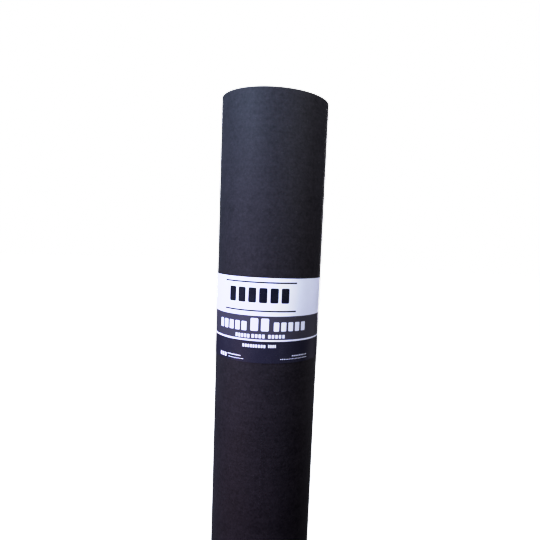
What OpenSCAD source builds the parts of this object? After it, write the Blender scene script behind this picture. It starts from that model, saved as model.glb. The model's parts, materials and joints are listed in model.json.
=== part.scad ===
// Roll of roofing felt, standing on its end and held shut by a paper label band.
// The origin is the centre of the lower end, and +Z runs up the roll's axis.

/* [Felt] */
// Width of the felt, which is the height of the standing roll
felt_width = 914.4; // [600:0.1:1100]
// Length of felt wound onto the roll
felt_length = 21950; // [9000:10:45000]
// Thickness of the felt, which sets the pitch of the turns
felt_thickness = 1.2; // [0.8:0.05:2.4]
// Diameter of the bore up the middle of the roll
bore_d = 38; // [25:1:90]

/* [Ends] */
// Depth of the groove that shows between two turns on an end
groove_depth = 0.5; // [0.2:0.05:1.5]
// Width of that groove at the face of the end
groove_width = 0.4; // [0.2:0.05:0.6]

/* [Label band] */
// Height of the paper band
label_height = 143; // [80:1:240]
// Distance from the roll's upper end down to the band's upper edge
label_drop = 302; // [20:1:340]
// Thickness of the paper
label_paper = 0.2; // [0.1:0.05:0.5]
// Length of the glued lap where the band's two ends meet, at the back
label_lap = 28; // [10:1:60]

/* [Hidden] */
// Each round face is drawn with this many sides
$fn = 180;
bore_r = bore_d / 2;
// The end of the roll has the area of the felt's own edge, which gives the outer radius
wound_r = sqrt(felt_length * felt_thickness / PI + bore_r * bore_r);
turns = round((wound_r - bore_r) / felt_thickness);
turn_pitch = (wound_r - bore_r) / turns;
label_base = felt_width - label_drop - label_height;
label_lap_angle = label_lap / wound_r * 180 / PI;
back_angle = 90;

// Three points of the groove outside turn number i, from the bore outwards.
// end_z is the height of the end, and into is 1 where the roll lies above it and -1 where it lies below.
function groove(i, end_z, into) =
    let (r = bore_r + i * turn_pitch)
    [[r - groove_width / 2, end_z], [r, end_z + into * groove_depth], [r + groove_width / 2, end_z]];

// Points of all the grooves of one end, from the bore outwards
function end_grooves(end_z, into) = [for (i = [1 : turns - 1]) each groove(i, end_z, into)];

function reversed(points) = [for (i = [len(points) - 1 : -1 : 0]) points[i]];

// Half section of the wound felt, with its turns showing on both ends
module wound_section() {
    polygon(concat(
        [[bore_r, 0]],
        end_grooves(0, 1),
        [[wound_r, 0], [wound_r, felt_width]],
        reversed(end_grooves(felt_width, -1)),
        [[bore_r, felt_width]]
    ));
}

module felt_roll() {
    color("#27252b")
        rotate_extrude()
            wound_section();
}

// Triangle from the axis outwards, which the lap's arc is cut from
module lap_wedge() {
    reach = 2 * wound_r;
    half = label_lap_angle / 2;
    rotate(back_angle)
        polygon([[0, 0], [reach, -reach * tan(half)], [reach, reach * tan(half)]]);
}

// Plan of the paper: one layer all round, and two where its ends lap
module label_plan() {
    difference() {
        union() {
            circle(wound_r + label_paper);
            intersection() {
                circle(wound_r + 2 * label_paper);
                lap_wedge();
            }
        }
        circle(wound_r);
    }
}

module label_band() {
    color("#dde2f2")
        translate([0, 0, label_base])
            linear_extrude(label_height)
                label_plan();
}

felt_roll();
label_band();
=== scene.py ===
"""Winds a roll of roofing felt, wraps its paper label band round it and lights it on a floor."""

import json
import math
from collections import namedtuple

import bmesh
import bpy
import numpy as np
from bpy.props import FloatProperty, FloatVectorProperty, IntProperty, PointerProperty
from mathutils import Matrix, Vector


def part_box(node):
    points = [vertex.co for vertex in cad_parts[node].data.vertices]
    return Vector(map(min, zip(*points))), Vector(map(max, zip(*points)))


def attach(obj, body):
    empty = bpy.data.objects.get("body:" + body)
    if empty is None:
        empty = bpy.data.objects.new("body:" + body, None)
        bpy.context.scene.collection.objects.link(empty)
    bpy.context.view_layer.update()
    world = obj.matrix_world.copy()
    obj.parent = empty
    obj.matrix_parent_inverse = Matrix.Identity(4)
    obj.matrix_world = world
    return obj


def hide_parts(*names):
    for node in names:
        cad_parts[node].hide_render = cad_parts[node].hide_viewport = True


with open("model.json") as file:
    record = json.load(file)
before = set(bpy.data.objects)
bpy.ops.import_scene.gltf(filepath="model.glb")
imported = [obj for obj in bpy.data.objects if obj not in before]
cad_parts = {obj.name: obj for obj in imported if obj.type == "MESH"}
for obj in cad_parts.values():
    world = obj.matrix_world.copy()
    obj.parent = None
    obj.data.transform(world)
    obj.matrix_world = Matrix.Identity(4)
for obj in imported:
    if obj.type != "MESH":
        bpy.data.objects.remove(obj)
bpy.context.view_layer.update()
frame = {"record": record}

bl_info = {
    "name": "Roofing felt roll",
    "version": (1, 0, 0),
    "blender": (4, 5, 0),
    "location": "View3D > Sidebar > Felt roll",
    "description": "Winds a roll of saturated roofing felt and wraps its paper label band round it",
    "category": "Add Mesh",
}

MM = 0.001

# What the frame fixes: the roll's outer face, its bore and the band round it
FELT_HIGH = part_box("felt_roll")[1]
LABEL_LOW, LABEL_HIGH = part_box("label_band")
ROLL_TOP = FELT_HIGH.z
MOUNTS = {mount["name"]: mount for mount in frame["record"]["mounts"]}
BORE_RADIUS = MOUNTS["bore"]["dims"]["r_mm"] * MM
LABEL_HEIGHT = LABEL_HIGH.z - LABEL_LOW.z
# The band's paper lies within the band's box, so the felt under it stays this far inside its own
LABEL_ROOM = 0.15 * MM
OUTER_RADIUS = FELT_HIGH.x - LABEL_ROOM
FULL_TURN = 2 * math.pi
# Width of the camera's sensor, in millimetres
SENSOR_WIDTH = 36


def length(name, description, default, **limits):
    """A property that holds a length, in metres."""
    return FloatProperty(
        name=name, description=description, default=default, unit="LENGTH", precision=5, **limits
    )


def angle(name, description, degrees):
    """A property that holds an angle, given here in degrees."""
    return FloatProperty(
        name=name, description=description, default=math.radians(degrees), subtype="ANGLE"
    )


def colour(name, description, default):
    """A property that holds a linear colour."""
    return FloatVectorProperty(
        name=name, description=description, default=default, subtype="COLOR", size=3, min=0, max=1
    )


class FeltSettings(bpy.types.PropertyGroup):
    """Sizes and colours of the wound felt."""

    thickness: length(
        "Felt thickness", "Thickness of the felt, which sets the pitch of the turns", 1.2 * MM
    )
    segments: IntProperty(
        name="Segments",
        description="Straight pieces in one turn of the felt",
        default=120,
        min=24,
        max=128,
    )
    rows: IntProperty(
        name="Rows", description="Rows of faces up the outer wall", default=64, min=8, max=120
    )
    groove_depth: length("Groove depth", "Depth of the gap that shows between two turns", 0.9 * MM)
    groove_width: length(
        "Groove width", "Width of the widest gaps that show between two turns", 0.6 * MM
    )
    edge_wander: length(
        "Edge wander", "How far the felt's edge strays up and down over the ends", 1.6 * MM
    )
    corner: length("Corner", "Rounding of the felt's cut edges", 0.22 * MM)
    tail_angle: angle("Tail angle", "Direction of the felt's outer end, from +X towards +Y", 52)
    tail_loose: length(
        "Loose tail", "Length of the outer end that has sprung away from the roll", 46 * MM
    )
    tail_lift: length("Tail lift", "How far the corners of the outer end stand off", 2.4 * MM)
    face_colour: colour("Face colour", "Colour of the felt's faces", (0.0123, 0.0106, 0.0126))
    edge_colour: colour("Edge colour", "Colour of the felt's cut edges", (0.025, 0.02, 0.018))
    dust_colour: colour(
        "Dust colour", "Colour of the mineral dust on the felt", (0.105, 0.102, 0.102)
    )


class LabelSettings(bpy.types.PropertyGroup):
    """Sizes and colours of the paper label band."""

    paper: length("Paper thickness", "Thickness of the paper", 0.2 * MM)
    lap: length("Lap", "Length of the glued lap at the back", 28 * MM)
    lap_lift: length("Lap lift", "How far the lap's free end has come up", 0.4 * MM)
    segments: IntProperty(
        name="Segments", description="Straight pieces round the band", default=256, min=48, max=512
    )
    rows: IntProperty(
        name="Rows", description="Rows of points up the band", default=28, min=12, max=64
    )
    edge_lift: length("Edge lift", "How far the band's edges stand off the felt", 0.1 * MM)
    print_turn: angle("Print turn", "Direction of the print's middle, from -Y towards +X", -10.5)
    panel_drop: length(
        "Panel drop", "From the band's upper edge down to the dark panel", 63.4 * MM
    )
    rule_drop: length("Rule drop", "From the band's upper edge down to the white rule", 103 * MM)
    rule_width: length("Rule width", "Width of the white rule", 3 * MM)
    paper_colour: colour("Paper colour", "Colour of the bare paper", (0.74, 0.77, 0.88))
    panel_colour: colour("Panel colour", "Colour of the dark panel", (0.053, 0.051, 0.068))
    foot_colour: colour("Foot colour", "Colour of the strip below the rule", (0.02, 0.0198, 0.032))
    ink_colour: colour(
        "Ink colour", "Colour of the dark blocks on the bare paper", (0.007, 0.008, 0.014)
    )


class StageSettings(bpy.types.PropertyGroup):
    """Camera, lamps and floor."""

    camera_distance: length("Camera distance", "From the roll's axis to the camera", 0.8627)
    camera_height: length("Camera height", "From the floor to the camera", 0.673)
    camera_yaw: angle("Camera yaw", "Turn of the camera to the left", -4.588)
    camera_pitch: angle("Camera pitch", "Tilt of the camera above the horizon", -6.274)
    camera_roll: angle("Camera roll", "Roll of the camera about its own axis", -2.665)
    camera_lens: FloatProperty(
        name="Lens",
        description=f"Focal length on a {SENSOR_WIDTH} mm sensor, in millimetres",
        default=31.36,
    )
    camera_shift: FloatVectorProperty(
        name="Shift",
        description="Shift of the lens to the right and up",
        size=2,
        default=(-0.067, 0.045),
    )
    floor_colour: colour("Floor colour", "Colour of the floor", (0.35, 0.35, 0.35))
    floor_glow: FloatProperty(
        name="Floor glow", description="Brightness left in the floor's deepest shadow", default=0.8
    )
    ambient: FloatProperty(
        name="Ambient", description="Strength of the light from all round", default=0.027
    )


# Meshes


def wave(at, wavelengths, seed):
    """A smooth, irregular curve from 0 to 1: the mean of sines of these wavelengths."""
    draw = np.random.default_rng(seed)
    total = sum(np.sin(FULL_TURN * (at / wavelength + draw.random())) for wavelength in wavelengths)
    return 0.5 + 0.5 * total / len(wavelengths)


def relief(turn, height, counts, seed):
    """A smooth bumpy field from 0 to 1 over a wall, of (waves round, waves a metre up) counts."""
    draw = np.random.default_rng(seed)
    total = 0
    for around, up in counts:
        total = total + np.cos(around * turn + FULL_TURN * (up * height + draw.random()))
    return 0.5 + 0.5 * total / len(counts)


def smoothstep(share):
    """0 below 0, 1 above 1, and a smooth rise between them."""
    held = np.clip(share, 0, 1)
    return held * held * (3 - 2 * held)


class Skin:
    """Gathers points and faces, with their places on the bake map, and makes them one mesh."""

    def __init__(self):
        self.points = []
        self.faces = []
        self.places = []
        self.slots = []

    def add(self, radius, turn, height):
        """Adds points given round the roll's axis, and returns their numbers, laid out the same."""
        radius, turn, height = np.broadcast_arrays(radius, turn, height)
        first = len(self.points)
        spots = np.stack([radius * np.cos(turn), radius * np.sin(turn), height], axis=-1)
        self.points.extend(spots.reshape(-1, 3).tolist())
        return np.arange(first, len(self.points)).reshape(radius.shape)

    def grid(self, numbers, across, up, slot=0):
        """Faces between neighbours in a grid of point numbers, each point with its own place."""
        across, up = np.broadcast_arrays(across, up)
        here, beyond = slice(None, -1), slice(1, None)
        corners = [(here, here), (beyond, here), (beyond, beyond), (here, beyond)]
        quads = np.stack([numbers[c] for c in corners], axis=-1).reshape(-1, 4)
        places = np.stack([np.stack([across[c], up[c]], axis=-1) for c in corners], axis=-2)
        self.faces.extend(quads.tolist())
        self.places.append(places.reshape(-1, 2))
        self.slots.extend([slot] * len(quads))

    def face(self, numbers, places, slot=0):
        """One face of any number of corners."""
        self.faces.append([int(number) for number in numbers])
        self.places.append(np.array(places, float))
        self.slots.append(slot)

    def finish(self, name, materials, sharp_angle):
        """Makes the mesh and its object, smooth but for edges that turn more than sharp_angle."""
        mesh = bpy.data.meshes.new(name)
        mesh.from_pydata(self.points, [], self.faces)
        mesh.polygons.foreach_set("material_index", self.slots)
        bake_map = mesh.uv_layers.new(name="OFBake")
        bake_map.data.foreach_set("uv", np.concatenate(self.places).astype(np.float32).ravel())
        for material in materials:
            mesh.materials.append(material)
        turned = bmesh.new()
        turned.from_mesh(mesh)
        bmesh.ops.recalc_face_normals(turned, faces=turned.faces)
        turned.to_mesh(mesh)
        turned.free()
        mesh.shade_smooth()
        mesh.set_sharp_from_angle(angle=sharp_angle)
        made = bpy.data.objects.new(name, mesh)
        bpy.context.scene.collection.objects.link(made)
        return made


class Winding:
    """The spiral of the wound felt, counted in steps from its inner end. Step s lies inside the
    sheet at s and outside the sheet one turn further in, so one turn more is counted than the
    sheet has."""

    # Wavelengths along the felt, in metres. The slow ones move several turns together, and the
    # quick ones are so short that each turn's edge stands a little off its neighbour's.
    SLOW_WAVES = (5.3, 3.1, 2.2)
    QUICK_WAVES = (1.13, 0.73, 0.47)
    GROOVE_WAVES = (3.3, 1.9, 0.87, 0.31)
    # The gaps' least width and depth as shares of the settings, and what their waves add to each
    GROOVE_WIDTHS = (0.12, 0.76)
    GROOVE_DEPTHS = (0.55, 0.9)
    # How steeply the loose tail curves away, over what height it comes free of the band, and the
    # little room that is left behind it where the band holds it down
    TAIL_CURVE = 1.7
    TAIL_REACH = 0.16
    TAIL_ROOM = 0.02 * MM

    def __init__(self, felt):
        self.felt = felt
        self.segments = felt.segments
        turns = (OUTER_RADIUS - BORE_RADIUS) / felt.thickness - 1
        self.last = round(turns * felt.segments)
        self.pitch = (OUTER_RADIUS - BORE_RADIUS) * self.segments / (self.last + self.segments)
        self.loose = round(felt.tail_loose / (FULL_TURN * OUTER_RADIUS) * self.segments)

    def turn(self, step):
        """Angle of a step, so that the felt's outer end is at the tail's angle."""
        return self.felt.tail_angle + FULL_TURN * (step - self.last) / self.segments

    def radius(self, step):
        """Distance of a step from the roll's axis, while the felt is wound tight."""
        return BORE_RADIUS + self.pitch * step / self.segments

    def run(self, step):
        """Length of felt up to a step."""
        turns = step / self.segments
        return FULL_TURN * turns * (BORE_RADIUS + self.pitch * turns / 2)

    def level(self, step, side):
        """Height of the felt's edge on the upper end (side 1) or the lower one (side -1)."""
        run = self.run(step)
        slow, quick = wave(run, self.SLOW_WAVES, seed=3), wave(run, self.QUICK_WAVES, seed=4)
        sunk = self.felt.edge_wander * (0.5 * slow + 0.5 * quick)
        return ROLL_TOP - sunk if side > 0 else self.felt.edge_wander - sunk

    def half_groove(self, step, side):
        """Half the width of the gap at a step."""
        opened = wave(self.run(step), self.GROOVE_WAVES, seed=20 + side) ** 2
        least, spread = self.GROOVE_WIDTHS
        return self.felt.groove_width * (least + spread * opened)

    def depth(self, step, side):
        """Depth of the gap at a step."""
        opened = wave(self.run(step), self.GROOVE_WAVES, seed=40 + side)
        least, spread = self.GROOVE_DEPTHS
        return self.felt.groove_depth * (least + spread * opened)

    def sprung(self, step, height):
        """How far the sheet at a step stands off the turn below. The band holds the tail down."""
        share = np.clip((step - self.last + self.loose) / self.loose, 0, 1)
        beyond = np.maximum(LABEL_LOW.z - height, height - LABEL_HIGH.z)
        free = smoothstep(beyond / self.TAIL_REACH)
        return share**self.TAIL_CURVE * self.felt.tail_lift * free + share * self.TAIL_ROOM

    def free_edge(self, sheet, side):
        """Height of a corner of the sheet's edge that no other turn meets."""
        return self.level(sheet, side) - side * self.felt.corner

    def gap_bottom(self, step, side):
        """Height of the bottom of the gap between the sheet at a step and the one inside it."""
        sheet, inside = self.level(step, side), self.level(step - self.segments, side)
        lower = np.minimum(side * sheet, side * inside)
        return side * (lower - self.depth(step, side))


# One end of the roll, as point numbers: every boundary between turns, the inner corners of the
# loose tail, and the points across each sheet's edge from its inner face to its outer one
End = namedtuple("End", "edges flap across")
# The rounding of a sheet's cut edge: how far down each face it starts, as a share of the corner's
# size, and how far in from each face it ends, as a share of the felt's pitch
SHOULDER_DROP, SHOULDER_WIDTH = 0.45, 0.16


def end_of_roll(skin, winding, side, place):
    """One end of the roll, where each turn's cut edge stands beside the next."""
    segments, last, loose = winding.segments, winding.last, winding.loose
    steps = np.arange(last + segments + 1)
    heights = np.where(
        steps > last - loose,
        winding.free_edge(steps - segments, side),
        np.where(steps < segments, winding.free_edge(steps, side), winding.gap_bottom(steps, side)),
    )
    radii = winding.radius(steps) + winding.sprung(steps - segments, heights)
    edges = skin.add(radii, winding.turn(steps), heights)

    loose_steps = np.arange(last - loose + 1, last + 1)
    loose_heights = winding.free_edge(loose_steps, side)
    loose_radii = winding.radius(loose_steps) + winding.sprung(loose_steps, loose_heights)
    flap = skin.add(loose_radii, winding.turn(loose_steps), loose_heights)

    sheet = np.arange(last + 1)
    level = winding.level(sheet, side)
    shoulder = level - side * SHOULDER_DROP * winding.felt.corner
    bevel = SHOULDER_WIDTH * winding.pitch
    lift = winding.sprung(sheet, level)
    inside = winding.radius(sheet) + winding.half_groove(sheet, side) + lift
    outside = winding.radius(sheet + segments) - winding.half_groove(sheet + segments, side) + lift
    crest = [(inside, shoulder), (inside + bevel, level)]
    crest += [(outside - bevel, level), (outside, shoulder)]
    crest = [skin.add(radius, winding.turn(sheet), height) for radius, height in crest]
    inner = np.concatenate([edges[: last - loose + 1], flap])
    across = np.stack([inner, *crest, edges[segments:]], axis=-1)
    spots = np.array(skin.points)[across]
    skin.grid(across, *place(spots[..., 0], spots[..., 1]), slot=1)
    return End(edges, flap, across)


def wall_rows(count):
    """Shares of the height at which a wall has points, closer together beside the ends."""
    beside, next_row = np.array([0, 0.001, 0.004]), 0.012
    middle = np.linspace(next_row, 1 - next_row, count + 1 - 2 * len(beside))
    return np.concatenate([beside, middle, 1 - beside[::-1]])


def stations(skin, winding, shares, steps, sheets, low, high, dent=0.0):
    """Columns of point numbers from the lower end's points to the upper end's. Each column stands
    at its step, and springs off the roll with its own sheet. Shallow dents of this depth run over
    the wall."""
    ends = np.array(skin.points)
    share = shares[None, 1:-1]
    height = ends[low, 2][:, None] * (1 - share) + ends[high, 2][:, None] * share
    turn = winding.turn(steps)[:, None]
    radius = winding.radius(steps)[:, None] + winding.sprung(sheets[:, None], height)
    end_share = 0.04
    clear_of_ends = smoothstep(share / end_share) * smoothstep((1 - share) / end_share)
    waves = ((2, 1.3), (3, -2.1), (5, 3.4), (1, 6.3), (0, 9.0))
    radius = radius - dent * clear_of_ends * relief(turn, height, waves, seed=5)
    return np.column_stack([low, skin.add(radius, turn, height), high])


def closed_wall(skin, wall, lower_edge, upper_edge, place):
    """A wall through these stations, from the first one to the last. The felt's own cut end closes
    it back to the first: lower_edge and upper_edge are the points across that end."""
    count, rows = wall.shape
    column, row = np.meshgrid(np.arange(count) / count, np.linspace(0, 1, rows), indexing="ij")
    skin.grid(wall, *place(column, row))
    first, final = wall[0], wall[-1]
    near, far = column[-1, 0], 1.0
    middle = slice(1, rows - 1)
    cut = np.stack([final, first])[:, middle]
    skin.grid(cut, *place(np.array([[near], [far]]), row[:1, middle]), slot=1)
    for edge, end, beside in ((lower_edge, 0, 1), (upper_edge, rows - 1, rows - 2)):
        numbers = [first[beside], *edge, final[beside]]
        shares = [far, *np.linspace(far, near, len(edge)), near]
        ups = [row[0, beside], *[row[0, end]] * len(edge), row[0, beside]]
        skin.face(numbers, [place(a, b) for a, b in zip(shares, ups)], slot=1)


def map_part(left, low, wide, high):
    """A rectangle of the bake map, as a function of shares across it and up it."""
    return lambda across, up: (left + wide * across, low + high * up)


def map_disc(middle_across, middle_up, radius):
    """A disc of the bake map, as a function of places on an end of the roll."""
    scale = radius / FELT_HIGH.x
    return lambda x, y: (middle_across + scale * x, middle_up + scale * y)


# Where the felt's faces lie on its bake map
WALL_MAP = map_part(0.004, 0.004, 0.69, 0.992)
BORE_MAP = map_part(0.71, 0.61, 0.28, 0.385)
LOWER_END_MAP = map_disc(0.85, 0.15, 0.14)
UPPER_END_MAP = map_disc(0.85, 0.45, 0.14)
# Where the band's faces lie on its own: the front of the print takes the upper half and the back's
# two parts the lower half, with the inner face between them and the cut edges all round
FRONT_MAP = map_part(0.01, 0.53, 0.98, 0.44)
BACK_MAPS = (map_part(0.01, 0.03, 0.48, 0.44), map_part(0.51, 0.03, 0.48, 0.44))
INNER_MAP = map_part(0.01, 0.49, 0.98, 0.02)
RIM_MAPS = (map_part(0.01, 0.005, 0.98, 0.02), map_part(0.01, 0.975, 0.98, 0.02))
CUT_MAPS = (map_part(0.0, 0.03, 0.005, 0.44), map_part(0.995, 0.03, 0.005, 0.44))


def felt_roll(felt, materials):
    """The wound felt: one closed mesh of its outer wall, its bore and both ends with every turn."""
    winding, skin = Winding(felt), Skin()
    lower = end_of_roll(skin, winding, -1, LOWER_END_MAP)
    upper = end_of_roll(skin, winding, 1, UPPER_END_MAP)

    last, segments = winding.last, winding.segments
    rows = wall_rows(felt.rows)
    under = np.arange(last, last - winding.loose, -1)
    flap = stations(skin, winding, rows, under, under, lower.flap[::-1], upper.flap[::-1])
    outer = np.arange(last - winding.loose, last + segments + 1)
    low, high = lower.edges[outer], upper.edges[outer]
    wall = stations(skin, winding, rows, outer, outer - segments, low, high, dent=0.12 * MM)
    wall = np.concatenate([flap, wall])
    closed_wall(skin, wall, lower.across[-1], upper.across[-1], WALL_MAP)

    bore_rows = wall_rows(12)
    inner = np.arange(segments + 1)
    low, high = lower.edges[inner], upper.edges[inner]
    bore = stations(skin, winding, bore_rows, inner, inner, low, high)
    closed_wall(skin, bore, lower.across[0], upper.across[0], BORE_MAP)
    return skin.finish("felt_roll_wound", materials, sharp_angle=math.radians(50))


def under_band(winding, turn):
    """Radius of what the band lies on: the felt, and past the tail a straight line from the tail's
    corner down to the turn below."""
    past_tail = (turn - winding.felt.tail_angle) % FULL_TURN
    step_foot = OUTER_RADIUS - winding.pitch
    bridged = math.acos(step_foot / OUTER_RADIUS)
    felt_radius = step_foot + winding.pitch * past_tail / FULL_TURN
    return felt_radius / np.cos(np.maximum(bridged - past_tail, 0))


def band_rows(count):
    """Heights of the band's rows of points above its lower edge, closest beside its two edges."""
    beside = np.array([0, 1.2, 2.8, 5.0, 8.0]) * MM
    next_row = 12 * MM
    middle = np.linspace(next_row, LABEL_HEIGHT - next_row, count - 2 * len(beside))
    return np.concatenate([beside, middle, LABEL_HEIGHT - beside[::-1]])


def band_radius(winding, label, turn, rise):
    """Radius of the band's inner face, from its inner end to its outer one over the glued lap."""
    begin, finish = turn[0, 0], turn[-1, 0]
    clearance = 0.03 * MM
    lap_ramp = 7 * MM / OUTER_RADIUS
    over = smoothstep((turn - begin - FULL_TURN + lap_ramp) / lap_ramp)
    curl_reach = 3.5 * MM
    curl = np.exp(-rise / curl_reach) + np.exp((rise - LABEL_HEIGHT) / curl_reach)
    lifted = label.edge_lift * curl * relief(turn, 0, ((3, 0), (7, 0), (12, 0)), seed=8)
    pucker = 0.05 * MM * relief(turn, rise, ((9, 5), (17, -9), (4, 11)), seed=9)
    free_end = 9 * MM / OUTER_RADIUS
    come_up = label.lap_lift * smoothstep((turn - finish + free_end) / free_end) ** 2
    come_up = come_up * relief(0, rise, ((0, 5), (0, 13)), seed=10)
    lying = under_band(winding, turn) + clearance + lifted + pucker
    return lying + over * (label.paper + clearance) + come_up


def paper_band(felt, label, materials):
    """The band: one closed mesh of paper, once round the felt, with its outer end lapped over."""
    skin = Skin()
    back = math.pi / 2
    lap = label.lap / OUTER_RADIUS
    begin, finish = back - lap / 2, back + FULL_TURN + lap / 2
    turn = np.linspace(begin, finish, label.segments)
    # One more column of points stands at the felt's tail
    turn = np.unique(np.append(turn, felt.tail_angle + FULL_TURN))[:, None]
    rise = band_rows(label.rows)[None, :]
    radius = band_radius(Winding(felt), label, turn, rise)
    inner = skin.add(radius, turn, LABEL_LOW.z + rise)
    outer = skin.add(radius + label.paper, turn, LABEL_LOW.z + rise)

    share_up = rise / LABEL_HEIGHT
    left, right = math.pi, FULL_TURN
    parts = [
        (turn[:, 0] <= left, begin, left, BACK_MAPS[0]),
        ((turn[:, 0] > left) & (turn[:, 0] < right), left, right, FRONT_MAP),
        (turn[:, 0] >= right, right, finish, BACK_MAPS[1]),
    ]
    for chosen, start, end, place in parts:
        picked = np.flatnonzero(chosen)
        picked = np.arange(picked[0], min(picked[-1] + 2, len(turn)))
        skin.grid(outer[picked], *place((turn[picked] - start) / (end - start), share_up))
    share_round = (turn - begin) / (finish - begin)
    skin.grid(inner, *INNER_MAP(share_round, share_up))
    share_through = np.array([[0.0, 1.0]])
    for row, place in zip((0, -1), RIM_MAPS):
        rim = np.stack([inner[:, row], outer[:, row]], axis=-1)
        skin.grid(rim, *place(share_round, share_through), slot=1)
    for column, place in zip((0, -1), CUT_MAPS):
        cut = np.stack([inner[column], outer[column]])
        skin.grid(cut, *place(share_through.T, share_up), slot=1)
    return skin.finish("label_band_paper", materials, sharp_angle=math.radians(40))


# Materials


class Signal:
    """A shader socket that Python's operators work on: values through Math nodes, and vectors
    through Vector Math."""

    def __init__(self, nodes, socket):
        self.nodes = nodes
        self.socket = socket

    def maths(self, operation, *others, swapped=False):
        """This operation on the value and the others, or on the others first."""
        kind = "ShaderNodeMath" if self.socket.type == "VALUE" else "ShaderNodeVectorMath"
        terms = [*others, self] if swapped else [self, *others]
        return self.nodes.add(kind, {"operation": operation}, dict(enumerate(terms)))

    def __add__(self, other):
        return self.maths("ADD", other)

    def __sub__(self, other):
        return self.maths("SUBTRACT", other)

    def __mul__(self, other):
        return self.maths("MULTIPLY", other)

    def __truediv__(self, other):
        return self.maths("DIVIDE", other)

    def __rsub__(self, other):
        return self.maths("SUBTRACT", other, swapped=True)

    def __rtruediv__(self, other):
        return self.maths("DIVIDE", other, swapped=True)

    __radd__ = __add__
    __rmul__ = __mul__

    def __abs__(self):
        return self.maths("ABSOLUTE")

    def most(self, other):
        """The larger of the two."""
        return self.maths("MAXIMUM", other)

    def least(self, other):
        """The smaller of the two."""
        return self.maths("MINIMUM", other)

    def held(self):
        """The value kept between 0 and 1."""
        return self.most(0).least(1)

    def over(self, edge, blur):
        """0 below an edge and 1 above it, with the change spread over blur."""
        return ((self - edge) / blur + 0.5).held()


class Nodes:
    """A tree of nodes, and the one method that adds any node to it."""

    def __init__(self, tree):
        self.tree = tree

    def add(self, kind, settings=None, inputs=None, output=0):
        """Adds a node, sets it up, feeds its sockets and returns one of its outputs."""
        made = self.tree.nodes.new(kind)
        for name, value in (settings or {}).items():
            setattr(made, name, value)
        for name, value in (inputs or {}).items():
            self.feed(made.inputs[name], value)
        return Signal(self, made.outputs[output])

    def feed(self, socket, value):
        """Links a signal to a socket, or sets the socket's own value."""
        if isinstance(value, Signal):
            self.tree.links.new(value.socket, socket)
        elif hasattr(value, "__len__") and socket.type == "RGBA":
            socket.default_value = (*value, 1)
        else:
            socket.default_value = value


class Shader(Nodes):
    """A new material with one Principled surface."""

    def __init__(self, name):
        self.material = bpy.data.materials.new(name)
        self.material.use_nodes = True
        super().__init__(self.material.node_tree)
        self.surface = self.tree.nodes["Principled BSDF"]

    def finish(self, **inputs):
        """Feeds the surface's sockets, with _ for a space, and returns the material."""
        for name, value in inputs.items():
            self.feed(self.surface.inputs[name.replace("_", " ")], value)
        return self.material

    def place(self):
        """The point's own place in the roll's frame, in metres."""
        return self.add("ShaderNodeTexCoord", output="Object")

    def blend(self, share, first, second):
        """The first colour where share is 0, the second where it is 1."""
        # The Mix node's sockets 6 and 7, and its output 2, are those for colours
        inputs = {"Factor": share, 6: first, 7: second}
        return self.add("ShaderNodeMix", {"data_type": "RGBA"}, inputs, output=2)

    def split(self, vector):
        """The three parts of a vector."""
        first = self.add("ShaderNodeSeparateXYZ", inputs={0: vector})
        return [Signal(self, part) for part in first.socket.node.outputs]

    def joined(self, x, y, z):
        """A vector of three parts."""
        return self.add("ShaderNodeCombineXYZ", inputs={0: x, 1: y, 2: z})

    def noise(self, vector, grain, detail=2.0, **inputs):
        """Soft noise from about 0.25 to 0.75, whose features are this many metres across."""
        fed = {"Vector": vector, "Scale": 1 / grain, "Detail": detail, **inputs}
        return self.add("ShaderNodeTexNoise", inputs=fed)

    def bump(self, height, depth, under=None):
        """A normal from a height of 0 to 1, which stands for this depth in metres."""
        inputs = {"Height": height, "Distance": depth}
        if under is not None:
            inputs["Normal"] = under
        return self.add("ShaderNodeBump", inputs=inputs)


def scaled(paint, share):
    """A colour made lighter or darker by a share."""
    return tuple(min(1.0, share * part) for part in paint)


def span(x, y):
    """The length of a line that goes this far each way."""
    return (x * x + y * y).maths("SQRT")


def unrolled(shader, tail_angle):
    """The place on the felt as it would lie flat: along it from the tail, up it and through it."""
    x, y, z = shader.split(shader.place())
    along = x * math.cos(tail_angle) + y * math.sin(tail_angle)
    aside = y * math.cos(tail_angle) - x * math.sin(tail_angle)
    # Both are turned half round, so that the join between the angle's two ends lies at the tail
    around = (0 - aside).maths("ARCTAN2", 0 - along)
    return shader.joined(around * OUTER_RADIUS, z, span(x, y))


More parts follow.
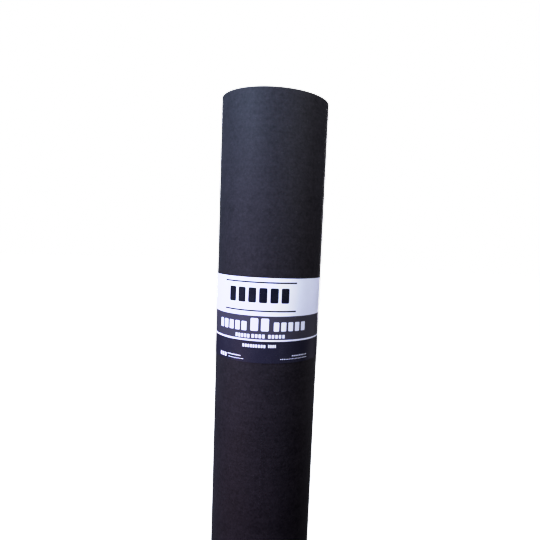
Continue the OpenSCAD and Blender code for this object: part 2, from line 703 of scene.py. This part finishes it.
def felt_face(felt):
    """The felt's faces: matted rag and wood fibre, black with asphalt, with some mineral dust."""
    shader = Shader("felt_face")
    place = shader.place()
    flat = unrolled(shader, felt.tail_angle)

    cloud = shader.noise(place, 70 * MM, detail=3)
    mottle = shader.noise(place, 9 * MM, detail=3)
    pores = shader.noise(place, 3.8 * MM, detail=2)
    grain = shader.noise(place, 1.3 * MM, detail=2)
    # Fibres lie mostly along the felt, and calender streaks run the same way
    fibre = shader.noise(flat * (0.22, 1.0, 1.0), 0.7 * MM, detail=2, Distortion=0.6)
    crossing = shader.noise(flat * (1.0, 0.35, 1.0), 0.8 * MM, detail=1, Distortion=0.8)
    streak = shader.noise(flat * (0.02, 1.0, 1.0), 5 * MM, detail=2)

    # Each of these is 0.5 on average, and so is the sum once this much is taken off
    excess = 1.55
    coarse = cloud * 0.5 + mottle * 0.75 + pores * 1.25
    shade = coarse + grain * 0.6 + fibre * 0.5 + streak * 0.5 - excess
    dark, light = scaled(felt.face_colour, 0.35), scaled(felt.face_colour, 1.65)
    asphalt = shader.blend(shade.held(), dark, light)

    # Specks of dust stand at the middles of an uneven pattern's cells, in the paler patches only
    cell, speck_radius, dusty = 4 * MM, 0.11, 0.52
    pattern = {"Vector": place, "Scale": 1 / cell}
    off_centre = shader.add("ShaderNodeTexVoronoi", {"feature": "F1"}, pattern, output="Distance")
    speck = (speck_radius - off_centre).over(0, 0.05) * mottle.over(dusty, 0.05)
    colour_out = shader.blend(speck * 0.28, asphalt, felt.dust_colour)

    rough = 0.72 + (grain - 0.5) * 0.25 + (cloud - 0.5) * 0.2
    soft = shader.bump(mottle * 0.5 + pores * 0.5, 0.36 * MM)
    fuzzy = shader.bump(fibre * 0.5 + crossing * 0.35 + grain * 0.4, 0.16 * MM, soft)
    return shader.finish(
        Base_Color=colour_out,
        Roughness=rough,
        Normal=fuzzy,
        Specular_IOR_Level=0.21,
        Sheen_Weight=0.045,
        Sheen_Roughness=0.45,
    )


def felt_edge(felt):
    """The felt's cut edges: duller and a little paler, with torn fibre and dust in the gaps."""
    shader = Shader("felt_edge")
    place = shader.place()
    mottle = shader.noise(place, 6 * MM, detail=3)
    torn = shader.noise(place, 0.6 * MM, detail=3)
    # Some turns are paler than others, over long arcs
    x, y, _ = shader.split(place)
    radius = span(x, y)
    arc = 5 * MM
    ring_place = shader.joined(x / radius * arc, y / radius * arc, radius)
    rings = shader.noise(ring_place, 2.4 * MM, detail=2)
    excess = 1.1
    shade = mottle * 0.4 + torn * 0.6 + rings * 2.2 - excess
    dark, light = scaled(felt.edge_colour, 0.35), scaled(felt.edge_colour, 1.8)
    fibre = shader.blend(shade.held(), dark, light)
    dusty = mottle.over(0.62, 0.12) * torn.over(0.55, 0.1)
    colour_out = shader.blend(dusty * 0.3, fibre, felt.dust_colour)
    rough = 0.8 + (torn - 0.5) * 0.2
    ragged = shader.bump(torn, 0.3 * MM)
    return shader.finish(
        Base_Color=colour_out, Roughness=rough, Normal=ragged, Specular_IOR_Level=0.18
    )


# A row of plain blocks that stands where the band has a line of print, in millimetres: its middle
# along the band from the middle of the print, its middle below the band's upper edge, its width
# and height, and how many blocks it has
Row = namedtuple("Row", "middle drop width height blocks", defaults=(1,))
# Share of a block's pitch that is left clear beside it, the rounding of its corners as a share of
# its smaller side, and the softness of its outline in millimetres
BLOCK_GAP, BLOCK_ROUNDING, BLOCK_BLUR = 0.27, 0.12, 0.25
MASTHEAD = (Row(0, 7.8, 132, 2.4), Row(-1, 29.2, 112, 25, 6), Row(0, 55.2, 132, 2.4))
GRADE_LINES = (
    Row(-49, 81.5, 64, 15.5, 5),
    Row(4, 78, 36, 21.5, 2),
    Row(57.5, 81, 63, 15.5, 5),
    Row(-26, 97.8, 28, 6.4, 5),
    Row(2, 97.4, 24, 6.4, 4),
    Row(33, 97.4, 30, 6.4, 5),
)
FOOT_LINES = (
    Row(-5, 114.3, 41, 5.4, 9),
    Row(26, 113.8, 14, 5.4, 4),
    Row(-69, 135.8, 20, 7, 3),
    Row(-42.5, 133, 29, 1.9, 10),
    Row(-38.5, 138, 32, 1.3, 14),
    Row(78, 131.3, 33, 1.9, 9),
    Row(68, 136.3, 55, 1.3, 18),
)


def blocks(along, drop, rows):
    """1 on the blocks of these rows and 0 off them. The blocks have rounded corners."""
    found = 0
    for row in rows:
        pitch = row.width / row.blocks
        gap = BLOCK_GAP * pitch if row.blocks > 1 else 0
        corner = BLOCK_ROUNDING * min(pitch, row.height)
        run = along / MM - (row.middle - row.width / 2)
        number = (run / pitch).maths("FLOOR").most(0).least(row.blocks - 1)
        beyond = abs(run - (number + 0.5) * pitch) - (pitch / 2 - gap / 2 - corner)
        above = abs(drop / MM - row.drop) - (row.height / 2 - corner)
        outside = span(beyond.most(0), above.most(0))
        inked = 1 - outside.over(corner, BLOCK_BLUR)
        found = inked.most(found)
    return found


def printed_paper(label):
    """The band's printed face: bare paper, a dark panel, a white rule and a darker foot, with rows
    of plain blocks on them."""
    shader = Shader("label_print")
    place = shader.place()
    x, y, z = shader.split(place)
    turn = label.print_turn
    ahead = x * math.sin(turn) - y * math.cos(turn)
    aside = x * math.cos(turn) + y * math.sin(turn)
    along = aside.maths("ARCTAN2", ahead) * OUTER_RADIUS
    drop = LABEL_HIGH.z - z

    edge = 0.3 * MM
    panel = drop.over(label.panel_drop, edge)
    foot = drop.over(label.rule_drop, edge)
    rule = foot * (1 - drop.over(label.rule_drop + label.rule_width, edge))
    dark_ink = blocks(along, drop, MASTHEAD)
    bare_rows = blocks(along, drop, GRADE_LINES + FOOT_LINES).most(rule)

    pulp = shader.noise(place, 1.1 * MM, detail=3)
    cloud = shader.noise(place, 24 * MM, detail=2)
    dim, bright = scaled(label.paper_colour, 0.94), scaled(label.paper_colour, 1.05)
    bare = shader.blend((pulp * 0.6 + cloud * 0.8 - 0.2).held(), dim, bright)
    inked = shader.blend(panel, shader.blend(dark_ink, bare, label.ink_colour), label.panel_colour)
    inked = shader.blend(foot, inked, label.foot_colour)
    # Solid ink lets a little of the paper's mottle through
    worn = (pulp - 0.5) * 0.08 + (cloud - 0.5) * 0.03
    covered = shader.blend(worn.held(), inked, label.paper_colour)
    colour_out = shader.blend(bare_rows, covered, bare)

    rough = 0.5 + (pulp - 0.5) * 0.2 - panel * 0.06
    surface = shader.bump(pulp, 0.05 * MM)
    return shader.finish(
        Base_Color=colour_out, Roughness=rough, Normal=surface, Specular_IOR_Level=0.06
    )


def paper_edge(label):
    """The band's cut edges, where the bare paper shows."""
    shader = Shader("label_edge")
    pulp = shader.noise(shader.place(), 0.8 * MM, detail=2)
    colour_out = shader.blend(pulp, scaled(label.paper_colour, 0.6), label.paper_colour)
    return shader.finish(Base_Color=colour_out, Roughness=0.8)


# Stage


# The tone curve, as shares of the brightest tone: dark tones are shown as they are, paper is lifted
# clear of them, and a soft shoulder leads up to white
DARKEST, BRIGHTEST = 0.003, 1.333
TONES = (
    (0.0, 0.0),
    (0.1125, 0.15),
    (0.225, 0.45),
    (0.35, 0.7),
    (0.45, 0.81),
    (0.6, 0.87),
    (0.9, 0.92),
    (1.0, 1.0),
)
WHITE = (1, 1, 1)
# A soft lamp: where it stands, the point that it faces, its width and height, power and tint
Lamp = namedtuple("Lamp", "name place aim size power tint")
LAMPS = (
    Lamp("key", (-0.75, -0.65, 1.05), (0, 0, 0.75), (0.5, 0.5), 18.2, (0.64, 0.6, 0.98)),
    Lamp("key_near", (-0.42, -0.36, 1.25), (0, 0, 0.85), (0.25, 0.25), 6.9, (0.36, 0.72, 1.0)),
    Lamp("fill_low", (-1.0, -0.65, 0.15), (0, 0, 0.28), (0.6, 0.4), 5.5, (1.0, 0.6, 0.67)),
    Lamp("side_left", (-1.1, 0.0, 1.15), (0, 0, 0.85), (0.6, 0.9), 2.6, (0.45, 0.72, 1.0)),
    Lamp("fill_right", (0.9, -0.9, 1.05), (0, 0, 0.75), (0.6, 0.6), 4, (1.0, 0.84, 0.93)),
    Lamp("right_high", (0.45, -0.55, 1.25), (0, 0, 0.85), (0.3, 0.3), 4.4, (0.73, 0.86, 1.0)),
    Lamp("rim_right", (0.7, 0.34, 0.27), (0, 0, 0.27), (0.25, 0.2), 0.26, (0.95, 0.85, 1.0)),
    Lamp("behind_left", (-0.45, 1.5, 0.9), (0, 0, 0.5), (0.3, 1.2), 21, (0.9, 0.93, 1.0)),
    Lamp("behind_right", (0.55, 1.45, 0.8), (0, 0, 0.5), (0.3, 1.2), 19, (0.93, 0.9, 1.0)),
)


def add_camera(stage):
    """A camera that looks along +Y, then turned, tilted and rolled."""
    data = bpy.data.cameras.new("camera")
    data.lens = stage.camera_lens
    data.sensor_width = SENSOR_WIDTH
    data.shift_x, data.shift_y = stage.camera_shift
    camera = bpy.data.objects.new("camera", data)
    upright = Matrix.Rotation(math.pi / 2, 4, "X")
    roll = Matrix.Rotation(stage.camera_roll, 4, "Y")
    pitch = Matrix.Rotation(stage.camera_pitch, 4, "X")
    yaw = Matrix.Rotation(stage.camera_yaw, 4, "Z")
    spot = Matrix.Translation((0, -stage.camera_distance, stage.camera_height))
    camera.matrix_world = spot @ yaw @ pitch @ roll @ upright
    bpy.context.scene.collection.objects.link(camera)
    bpy.context.scene.camera = camera


def add_lamp(lamp):
    """A rectangular soft lamp that the camera doesn't see."""
    data = bpy.data.lights.new(lamp.name, "AREA")
    data.shape = "RECTANGLE"
    data.size, data.size_y = lamp.size
    data.energy = lamp.power
    data.color = lamp.tint
    made = bpy.data.objects.new(lamp.name, data)
    made.location = lamp.place
    towards = Vector(lamp.aim) - Vector(lamp.place)
    made.rotation_euler = towards.to_track_quat("-Z", "Y").to_euler()
    made.visible_camera = False
    bpy.context.scene.collection.objects.link(made)


def floor_paint(stage):
    """The floor's paint, which glows, so that the floor is close to white round the shadow. Its
    glow is dimmed by painted shade right beside the roll's foot.
    """
    shader = Shader("floor")
    place = shader.place()
    tone = shader.noise(place, 0.5, detail=2)
    paint = shader.blend(tone, scaled(stage.floor_colour, 0.97), stage.floor_colour)
    x, y, _ = shader.split(place)
    radius = span(x, y)
    shadow_end, fade, contact = 0.3, 1.2, 0.06
    # The glow is weaker within reach of the roll and rises to full white far out
    away = ((radius - shadow_end) / fade).held()
    # Painted shade: the floor's glow is halved right beside the roll's foot, where the two meet
    clear_of_painted_foot_shade = ((radius - FELT_HIGH.x) / contact).held()
    glow = (away * (1 - stage.floor_glow) + stage.floor_glow) * (clear_of_painted_foot_shade * 0.5 + 0.5)
    return shader.finish(
        Base_Color=paint, Roughness=0.9, Emission_Color=glow, Emission_Strength=BRIGHTEST
    )


def add_floor(stage):
    """A wide round floor, which lights nothing itself."""
    skin = Skin()
    sides = 96
    turn = np.linspace(0, FULL_TURN, sides, endpoint=False)[:, None]
    radii = np.array([[0.02, 0.1, 0.3, 1.0, 3.0, 14.0]])
    rings = skin.add(radii, turn, 0.0)
    closed = np.concatenate([rings, rings[:1]])
    share_round = np.linspace(0, 1, sides + 1)[:, None]
    share_out = np.linspace(0, 1, radii.size)[None, :]
    skin.grid(closed, share_round, share_out)
    skin.face(rings[:, 0], np.zeros((sides, 2)))
    floor = skin.finish("floor", [floor_paint(stage)], sharp_angle=math.radians(60))
    floor.visible_diffuse = False
    floor.visible_glossy = False
    return floor


def light_world(stage):
    """A little even light from all round, and plain white where the camera sees past the floor."""
    world = bpy.data.worlds.new("studio")
    bpy.context.scene.world = world
    world.use_nodes = True
    nodes = Nodes(world.node_tree)
    ambient = nodes.tree.nodes["Background"]
    nodes.feed(ambient.inputs["Color"], WHITE)
    nodes.feed(ambient.inputs["Strength"], stage.ambient)
    past_floor = {"Color": WHITE, "Strength": BRIGHTEST}
    white = nodes.add("ShaderNodeBackground", inputs=past_floor)
    seen = nodes.add("ShaderNodeLightPath", output="Is Camera Ray")
    parts = {0: seen, 1: Signal(nodes, ambient.outputs[0]), 2: white}
    chosen = nodes.add("ShaderNodeMixShader", inputs=parts)
    nodes.feed(nodes.tree.nodes["World Output"].inputs["Surface"], chosen)


def set_tones(view):
    """Shows the scene through the tone curve."""
    view.view_transform = "Standard"
    view.use_curve_mapping = True
    view.curve_mapping.black_level = (DARKEST,) * 3
    view.curve_mapping.white_level = (BRIGHTEST,) * 3
    curve = view.curve_mapping.curves[3]
    curve.points[0].location, curve.points[1].location = TONES[0], TONES[-1]
    for place in TONES[1:-1]:
        curve.points.new(*place)
    for point in curve.points:
        point.handle_type = "VECTOR"
    view.curve_mapping.update()


# Operators


class WindFelt(bpy.types.Operator):
    """Wind the roll of felt, in place of the plain one in the frame"""

    bl_idname = "mesh.wind_felt_roll"
    bl_label = "Wind felt"

    def execute(self, context):
        felt = context.scene.felt_roll_felt
        roll = felt_roll(felt, [felt_face(felt), felt_edge(felt)])
        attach(roll, "root")
        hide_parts("felt_roll")
        return {"FINISHED"}


class WrapLabel(bpy.types.Operator):
    """Wrap the paper label band round the felt, in place of the plain one in the frame"""

    bl_idname = "mesh.wrap_label_band"
    bl_label = "Wrap label band"

    def execute(self, context):
        label = context.scene.felt_roll_label
        materials = [printed_paper(label), paper_edge(label)]
        band = paper_band(context.scene.felt_roll_felt, label, materials)
        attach(band, "root")
        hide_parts("label_band")
        return {"FINISHED"}


class SetStage(bpy.types.Operator):
    """Set up the floor, the soft lamps and the camera"""

    bl_idname = "scene.set_felt_stage"
    bl_label = "Set stage"

    def execute(self, context):
        stage = context.scene.felt_roll_stage
        add_camera(stage)
        add_floor(stage)
        light_world(stage)
        for lamp in LAMPS:
            add_lamp(lamp)
        set_tones(context.scene.view_settings)
        return {"FINISHED"}


class FeltRollPanel(bpy.types.Panel):
    """Sizes and colours of the felt roll, and the operators that build it"""

    bl_idname = "VIEW3D_PT_felt_roll"
    bl_label = "Felt roll"
    bl_space_type = "VIEW_3D"
    bl_region_type = "UI"
    bl_category = "Felt roll"

    def draw(self, context):
        for settings, operator in STEPS:
            box = self.layout.box()
            group = getattr(context.scene, settings)
            for name in group.bl_rna.properties.keys():
                if name not in ("rna_type", "name"):
                    box.prop(group, name)
            box.operator(operator)


GROUPS = {
    "felt_roll_felt": FeltSettings,
    "felt_roll_label": LabelSettings,
    "felt_roll_stage": StageSettings,
}
# Each operator with the settings that stand over its button
STEPS = (
    ("felt_roll_felt", WindFelt.bl_idname),
    ("felt_roll_label", WrapLabel.bl_idname),
    ("felt_roll_stage", SetStage.bl_idname),
)
CLASSES = (*GROUPS.values(), WindFelt, WrapLabel, SetStage, FeltRollPanel)


def register():
    """Adds the classes, and gives the scene their settings."""
    for each in CLASSES:
        bpy.utils.register_class(each)
    for name, group in GROUPS.items():
        setattr(bpy.types.Scene, name, PointerProperty(type=group))


def unregister():
    """Takes the settings and the classes away again."""
    for name in GROUPS:
        delattr(bpy.types.Scene, name)
    for each in reversed(CLASSES):
        bpy.utils.unregister_class(each)


def main():
    """Makes the roll, its band and the stage."""
    register()
    bpy.ops.mesh.wind_felt_roll()
    bpy.ops.mesh.wrap_label_band()
    bpy.ops.scene.set_felt_stage()


if __name__ == "__main__":
    main()
